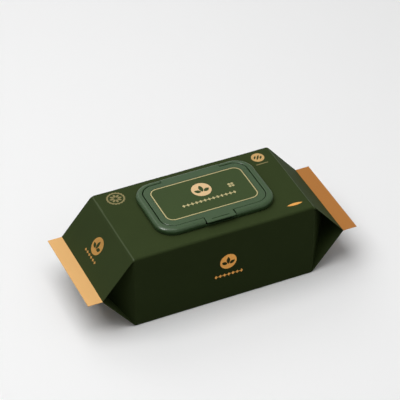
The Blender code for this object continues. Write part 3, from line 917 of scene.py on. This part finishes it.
# %% The frame's section, lofted
def frame_rings():
    """The section of the frame, one rounded rectangle for each step."""
    belly = CAP_TOP - NOSE_RADIUS
    rise = belly - CAP_LOW.z
    outer = [(UNDERCUT * (1 - sin(a)), CAP_LOW.z + rise * (1 - cos(a))) for a in quarter(6)[:-1]]
    outer += arc(NOSE_RADIUS, belly, NOSE_RADIUS, 0, 90, 12)
    rings = ring_stack(CAP_EDGES, CAP_CORNER, outer)
    recess = [(-RIM_EASE * (1 - sin(a)), CAP_TOP - RIM_EASE * (1 - cos(a))) for a in quarter(5)]
    recess += [(FILLET * (1 - cos(a)), FLOOR_TOP + FILLET * (1 - sin(a))) for a in quarter(3)]
    rings += ring_stack(RECESS, RECESS_CORNER, recess)
    lip_top = FLOOR_TOP + LIP_RISE
    lip = [(-LIP_WALL, FLOOR_TOP), (-LIP_WALL, lip_top - FILLET),
           (-LIP_WALL + FILLET * 0.3, lip_top - FILLET * 0.3), (-LIP_WALL + FILLET, lip_top),
           (-FILLET, lip_top), (-FILLET * 0.3, lip_top - FILLET * 0.3),
           (0.0, lip_top - FILLET), (0.0, CAP_LOW.z)]
    rings += ring_stack(MOUTH, MOUTH_CORNER, lip)
    under = [(TAPE_INNER, CAP_LOW.z), (TAPE_INNER, TAPE_ROOM),
             (TAPE_OUTER, TAPE_ROOM), (TAPE_OUTER, CAP_LOW.z)]
    return rings + ring_stack(CAP_EDGES, CAP_CORNER, under)


cap_frame = loft("cap_frame", frame_rings(), cap_plastic, closed=True)
print("cap frame:", len(cap_frame.data.polygons), "faces")

# %% [markdown]
# The rear of the rim is cut away for the hinge, and the two ends of that gap have a round socket
# each. At the front the rim is cut away under the tab, so that a fingertip can get below it, and a
# thin catch stands there for the tab's hook. Those few shapes are joined and cut with booleans.

# %% Hinge gap, sockets, tab notch and catch
HINGE = Vector(frame["joints"][0]["pos_m"])
HINGE_NOTCH = 0.062
PIN_RADIUS = 0.001
PIN_LENGTH = 0.0025
SOCKET_CLEARANCE = 0.00025
BARREL_RADIUS = CAP_TOP - HINGE.z
TAB_WIDTH = 0.0296
TAB_SLIT = 0.0010
TAB_LEDGE = 0.0012
FINGER_ROOM = 0.0012        # the ledge under the tab stands back by this much
CATCH_LENGTH = 0.016
CATCH_WALL = 0.0010
CATCH_CLEARANCE = 0.0004
COVER_THICK = 0.0018
COVER_UNDER = CAP_TOP - COVER_THICK
CUT = 0.002


def bar(radius, half):
    """A round bar along the hinge axis."""
    bm = bmesh.new()
    bmesh.ops.create_cone(bm, cap_ends=True, segments=40, radius1=radius, radius2=radius,
                          depth=2 * half, matrix=Matrix.Rotation(pi / 2, 4, "Y"))
    bmesh.ops.translate(bm, verts=bm.verts, vec=(MOUTH_X, HINGE.y, HINGE.z))
    return add_object("tool", bm)


def middle_block(half, depths, heights, ease=0.0):
    """A box in the middle of the cap, given from front to rear and from low to high."""
    return block((MOUTH_X - half, depths[0], heights[0]), (MOUTH_X + half, depths[1], heights[1]), ease)


hinge_gap = middle_block(HINGE_NOTCH / 2, (RECESS[3] - CUT, CAP_HIGH.y + CUT), (FLOOR_TOP, CAP_TOP + CUT))
sockets = bar(PIN_RADIUS + SOCKET_CLEARANCE, HINGE_NOTCH / 2 + PIN_LENGTH)
notch_half = TAB_WIDTH / 2 + TAB_SLIT
tab_notch = middle_block(notch_half, (CAP_LOW.y - CUT, RECESS[2] + CUT),
                         (TOP_Z + TAB_LEDGE, CAP_TOP + CUT))
finger_room = middle_block(notch_half, (CAP_LOW.y - CUT, CAP_LOW.y + FINGER_ROOM),
                           (CAP_LOW.z - CUT, CAP_TOP + CUT))
catch = middle_block(CATCH_LENGTH / 2, (RECESS[2] - CATCH_WALL, RECESS[2]),
                     (FLOOR_TOP - FLOOR_THICK / 2, COVER_UNDER - CATCH_CLEARANCE))
shape_with(cap_frame, "DIFFERENCE", hinge_gap, sockets, tab_notch, finger_room)
shape_with(cap_frame, "UNION", catch)
smooth_flats(cap_frame)
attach(cap_frame, "pack")
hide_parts("cap_base")
print("cap frame cut:", len(cap_frame.data.polygons), "faces")

# %% [markdown]
# ## The cover
#
# The cover is a plate with a softened edge. Below it a skirt stiffens it, and a ring plugs round
# the mouth's lip to keep the wipes moist. The plate, skirt and ring are again one section, this
# time closed in the middle. Ribs, tongue, barrel, pins, tab and hook are joined on.

# %% The cover's section, lofted
COVER_EASE = 0.0006
GAP_SIDE = 0.0009
GAP_FRONT = 0.0002
GAP_REAR = 0.0010
COVER_EDGES = (RECESS[0] + GAP_SIDE, RECESS[1] - GAP_SIDE, RECESS[2] + GAP_FRONT, RECESS[3] - GAP_REAR)
COVER_CORNER = RECESS_CORNER - GAP_SIDE
SKIRT_INSET = 0.002
SKIRT_WALL = 0.0012
PLUG_CLEARANCE = 0.0004
PLUG_WALL = 0.001
FOOT = FLOOR_TOP + 0.0004
LABEL_EDGES = (LABEL_LOW.x, LABEL_HIGH.x, LABEL_LOW.y, LABEL_HIGH.y)
LABEL_CORNER = 0.0085
LABEL_PLAY = 0.0003
LABEL_SEAT = LABEL_LOW.z - LABEL_PLAY


def cover_rings():
    """The section of the cover, from the middle of its top round to the middle below."""
    rings = ring_stack(LABEL_EDGES, LABEL_CORNER, [(-LABEL_PLAY, LABEL_SEAT), (-LABEL_PLAY, CAP_TOP)])
    edge = arc(COVER_EASE, CAP_TOP - COVER_EASE, COVER_EASE, 90, 0, 5)
    edge += [(0.0, COVER_UNDER), (SKIRT_INSET, COVER_UNDER), (SKIRT_INSET, FOOT),
             (SKIRT_INSET + SKIRT_WALL, FOOT), (SKIRT_INSET + SKIRT_WALL, COVER_UNDER)]
    rings += ring_stack(COVER_EDGES, COVER_CORNER, edge)
    inner = -(LIP_WALL + PLUG_CLEARANCE)
    plug = [(inner - PLUG_WALL, COVER_UNDER), (inner - PLUG_WALL, FOOT), (inner, FOOT), (inner, COVER_UNDER)]
    return rings + ring_stack(MOUTH, MOUTH_CORNER, plug)


cover = loft("flip_top_cover", cover_rings(), cap_plastic)
print("cover:", len(cover.data.polygons), "faces")

# %% Ribs, hinge parts and latch parts of the cover
BARREL_END_GAP = 0.0005
RIB_WALL = 0.001
RIB_SPACING = 0.022
RIB_LIFT = 0.0004
TAB_REACH = 0.0008          # a little further out than the solid, over the finger room
TAB_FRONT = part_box("cap_cover")[0].y - TAB_REACH
TAB_EASE = 0.0007
TAB_LIP_DEPTH = 0.0024
TAB_LIP_THICK = 0.0016
TAB_LIP_STEP = 0.0002       # the lip lies a hair below the top of the tab
CATCH_OVERLAP = 0.0014
GRIP_LENGTH = 0.018
GRIP_WIDTH = 0.0009
GRIP_DEPTH = 0.0005
GRIP_SETBACK = 0.0036


def ribs_and_hinge():
    """Four ribs between plug ring and skirt, the tongue to the barrel, the barrel and its pins."""
    pieces = []
    for side, edge in ((-1, COVER_EDGES[0]), (1, COVER_EDGES[1])):
        for row in (-1, 1):
            y = MOUTH_Y + row * RIB_SPACING / 2
            ring_x = MOUTH_X + side * (MOUTH_HALF + LIP_WALL + PLUG_CLEARANCE + PLUG_WALL / 2)
            skirt_x = edge - side * (SKIRT_INSET + SKIRT_WALL / 2)
            pieces.append(block((min(ring_x, skirt_x), y - RIB_WALL / 2, FOOT + RIB_LIFT),
                                (max(ring_x, skirt_x), y + RIB_WALL / 2, COVER_UNDER + COVER_THICK / 3)))
    half = HINGE_NOTCH / 2 - BARREL_END_GAP
    tongue = middle_block(half, (COVER_EDGES[3] - 2 * COVER_THICK, HINGE.y), (COVER_UNDER, CAP_TOP))
    return pieces + [tongue, bar(BARREL_RADIUS, half), bar(PIN_RADIUS, half + PIN_LENGTH)]


def latch_pieces():
    """The tab, its front lip and the hook that snaps over the catch."""
    half = TAB_WIDTH / 2
    tab = middle_block(half, (TAB_FRONT, COVER_EDGES[2] + 2 * COVER_THICK),
                       (COVER_UNDER, CAP_TOP), TAB_EASE)
    lip = middle_block(half, (TAB_FRONT, TAB_FRONT + TAB_LIP_DEPTH),
                       (CAP_TOP - TAB_LIP_THICK, CAP_TOP - TAB_LIP_STEP), TAB_EASE)
    rear = RECESS[2] - CATCH_WALL - CATCH_CLEARANCE
    hook = middle_block(CATCH_LENGTH / 2, (rear - CATCH_WALL, rear),
                        (COVER_UNDER - CATCH_CLEARANCE - CATCH_OVERLAP, COVER_UNDER + COVER_THICK / 2))
    return [tab, lip, hook]


grip_y = TAB_FRONT + GRIP_SETBACK
shape_with(cover, "UNION", *ribs_and_hinge(), *latch_pieces())
shape_with(cover, "DIFFERENCE",
           middle_block(GRIP_LENGTH / 2, (grip_y - GRIP_WIDTH / 2, grip_y + GRIP_WIDTH / 2),
                        (CAP_TOP - GRIP_DEPTH, CAP_TOP + CUT)))
smooth_flats(cover)
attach(cover, "cover")
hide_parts("cap_cover")
print("cover complete:", len(cover.data.polygons), "faces")

# %% [markdown]
# ## The label and its gold line
#
# The label is a thin printed plate let into the cover. Its gold line is ink, so it is a very thin
# ring that lies on the label and rides with it.

# %% Label and gold line
INK = 0.00005
LINE_INSET = 0.0002
LINE_WIDTH = 0.0011
LABEL_EASE = 0.00008

label_top = CAP_TOP - INK
label_section = [(0.0, LABEL_LOW.z), (0.0, label_top - LABEL_EASE), (LABEL_EASE, label_top)]
label = loft("cover_panel", ring_stack(LABEL_EDGES, LABEL_CORNER, label_section), label_print)
smooth_flats(label)
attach(label, "cover")
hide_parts("cover_label")

inner = LINE_INSET + LINE_WIDTH
line_section = [(LINE_INSET, label_top - INK), (LINE_INSET, label_top + INK),
                (inner, label_top + INK), (inner, label_top - INK)]
gold_line = loft("gold_line", ring_stack(LABEL_EDGES, LABEL_CORNER, line_section), line_gold, closed=True)
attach(gold_line, "cover")
print("label and gold line made")

# %% [markdown]
# ## Gold prints
#
# The film and the label carry small gold prints: discs with a sprout, rows of lozenges, a medal and
# a few plain marks. Each is drawn as flat outlines in millimetres. A 2D curve fills them and leaves
# holes where one outline lies in another. Then the print is laid on its panel, and on film it
# follows the drift.

# %% Outlines for the prints
MM = 0.001


def circle(radius, x=0.0, y=0.0, steps=48, scallops=0, depth=0.0):
    """A circle, with a scalloped edge if wanted."""
    turns = [2 * pi * step / steps for step in range(steps)]
    reach = [radius + depth * abs(sin(scallops * a / 2)) for a in turns]
    return [(x + r * cos(a), y + r * sin(a)) for r, a in zip(reach, turns)]


def leaf(start, length, width, angle, steps=14):
    """A pointed leaf that grows from a distance along a direction."""
    turn = radians(angle)
    along = [start + length * step / steps for step in range(steps + 1)]
    bulge = [width / 2 * sin(pi * step / steps) ** 0.8 for step in range(steps + 1)]
    outline = list(zip(along, bulge)) + list(zip(along[-2:0:-1], [-b for b in bulge[-2:0:-1]]))
    return [(x * cos(turn) - y * sin(turn), x * sin(turn) + y * cos(turn))
            for x, y in outline]


def bar_outline(length, height):
    """A short bar with round ends."""
    return rounded_outline(-length / 2, length / 2, -height / 2, height / 2, height / 2 * 0.98, 6)


def shifted(outline, x, y):
    """The outline moved."""
    return [(px + x, py + y) for px, py in outline]


print("a leaf has", len(leaf(1, 5, 2, 0)), "points")

# %% Turn outlines into a print on a panel
def lay_print(name, outlines, centre, right, up, look, body):
    """Fill outlines given in millimetres and lay them on a panel as a thin layer of ink."""
    curve = bpy.data.curves.new(name, "CURVE")
    curve.dimensions = "2D"
    curve.fill_mode = "BOTH"
    curve.extrude = INK
    for outline in outlines:
        spline = curve.splines.new("POLY")
        spline.points.add(len(outline) - 1)
        for point, (x, y) in zip(spline.points, outline):
            point.co = (x * MM, y * MM, 0.0, 1.0)
        spline.use_cyclic_u = True
    plate = put(name + "_plate", curve)
    bpy.context.view_layer.update()
    mesh = bpy.data.meshes.new_from_object(plate.evaluated_get(bpy.context.evaluated_depsgraph_get()))
    bpy.data.objects.remove(plate, do_unlink=True)
    right, up = Vector(right).normalized(), Vector(up).normalized()
    turn = Matrix((right, up, right.cross(up))).transposed().to_4x4()
    bm = bmesh.new()
    bm.from_mesh(mesh)
    bpy.data.meshes.remove(mesh)
    bmesh.ops.remove_doubles(bm, verts=bm.verts, dist=1e-7)
    bm.transform(Matrix.Translation(Vector(centre)) @ turn)
    if body == "pack":
        for vert in bm.verts:
            vert.co += film_drift(vert.co)
    thing = add_object(name, bm, look)
    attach(thing, body)


print("printing helper ready")

# %% [markdown]
# The rosette is a disc with three leaves left out of it, so the green below shows as a sprout. Under
# it runs a row of lozenges and beads. The same pair is used on the cover, on the front and on the
# left slope, each time at its own size.

# %% The prints themselves
def rosette(radius):
    """A disc with a sprout of three leaves left open in it."""
    outlines = [circle(radius)]
    for angle, start, length in ((90, 0.05, 1.0), (28, 0.16, 0.72), (152, 0.16, 0.72)):
        lift = -0.42 * radius
        outlines.append(shifted(leaf(start * radius, length * radius, 0.44 * radius, angle), 0, lift))
    return outlines


def ornament_row(half_length, height, count):
    """Lozenges in a row, with a bead between each two."""
    pitch = 2 * half_length / count
    outlines = []
    for number in range(count):
        middle = (number + 0.5) * pitch - half_length
        outlines.append([(middle - pitch * 0.36, 0), (middle, -height / 2),
                         (middle + pitch * 0.36, 0), (middle, height / 2)])
        if number:
            outlines.append(circle(height * 0.12, middle - pitch / 2, 0, 16))
    return outlines


def quatrefoil(radius):
    """Four small discs round a fifth."""
    turns = [pi / 2 * number + pi / 4 for number in range(4)]
    reach = radius * 0.62
    petals = [circle(radius * 0.38, reach * cos(a), reach * sin(a), 24) for a in turns]
    return petals + [circle(radius * 0.16, 0, 0, 16)]


def medal(radius):
    """A scalloped ring round a ring of petals."""
    outlines = [circle(radius * 0.94, steps=216, scallops=18, depth=radius * 0.09), circle(radius * 0.82)]
    outlines += [leaf(radius * 0.16, radius * 0.54, radius * 0.26, 45 * number) for number in range(8)]
    return outlines


def badge(radius):
    """A disc with three slanting leaves left open in it."""
    outlines = [circle(radius)]
    for offset, length in ((-0.42, 0.85), (0.0, 1.25), (0.42, 0.85)):
        blade = leaf(-length / 2 * radius, length * radius, radius * 0.30, 55)
        outlines.append(shifted(blade, offset * radius, -offset * radius * 0.35))
    return outlines


FRONT_Y = POUCH_LOW.y
X_AXIS, Y_AXIS, Z_AXIS = Vector((1, 0, 0)), Vector((0, 1, 0)), Vector((0, 0, 1))

PRINTS = (
    ("cover_rosette", rosette(9.8), (MOUTH_X, MOUTH_Y + 0.0065, label_top), Y_AXIS, cream_gold, "cover"),
    ("cover_row", ornament_row(28.5, 4.4, 13), (MOUTH_X + 0.001, MOUTH_Y - 0.0097, label_top), Y_AXIS,
     line_gold, "cover"),
    ("cover_mark", quatrefoil(3.6), (0.0312, 0.0040, label_top), Y_AXIS, line_gold, "cover"),
    ("front_rosette", rosette(8.6), (0.0030, FRONT_Y, 0.0462), Z_AXIS, print_gold, "pack"),
    ("front_row", ornament_row(15.5, 4.0, 7), (0.0036, FRONT_Y, 0.0304), Z_AXIS, print_gold, "pack"),
    ("medal", medal(9.0), (-0.0736, 0.0380, TOP_Z), Y_AXIS, pale_gold, "pack"),
    ("badge", badge(6.6), (0.0766, 0.0396, TOP_Z), Y_AXIS, badge_gold, "pack"),
    ("badge_bar", [bar_outline(13.0, 1.1)], (0.0765, 0.0292, TOP_Z), Y_AXIS, pale_gold, "pack"),
    ("corner_leaf", [leaf(-8, 16, 3.4, 0)], (0.0776, -0.0397, TOP_Z), Y_AXIS, print_gold, "pack"),
)
for name, outlines, centre, up, look, body in PRINTS:
    lay_print(name, outlines, centre, X_AXIS, up, look, body)
print("top and front prints laid")

# %% Prints on the left slope
SLOPE_RUN = SEAL_X - PANEL_HALF
slope_down = Vector((-SLOPE_RUN, 0, -(TOP_Z - SEAL_Z - FIN_HALF))).normalized()
slope_middle = Vector((-(PANEL_HALF + SEAL_X) / 2, 0, (TOP_Z + SEAL_Z + FIN_HALF) / 2))
NUDGE = 0.0012
slope_shift = Vector((0, NUDGE, 0))
lay_print("slope_rosette", rosette(8.8), slope_middle - slope_down * NUDGE + slope_shift,
          -Y_AXIS, -slope_down, slope_gold, "pack")
lay_print("slope_row", ornament_row(13.0, 3.2, 6), slope_middle + slope_down * 0.0108 + slope_shift,
          -Y_AXIS, -slope_down, slope_gold, "pack")
print("slope prints laid")
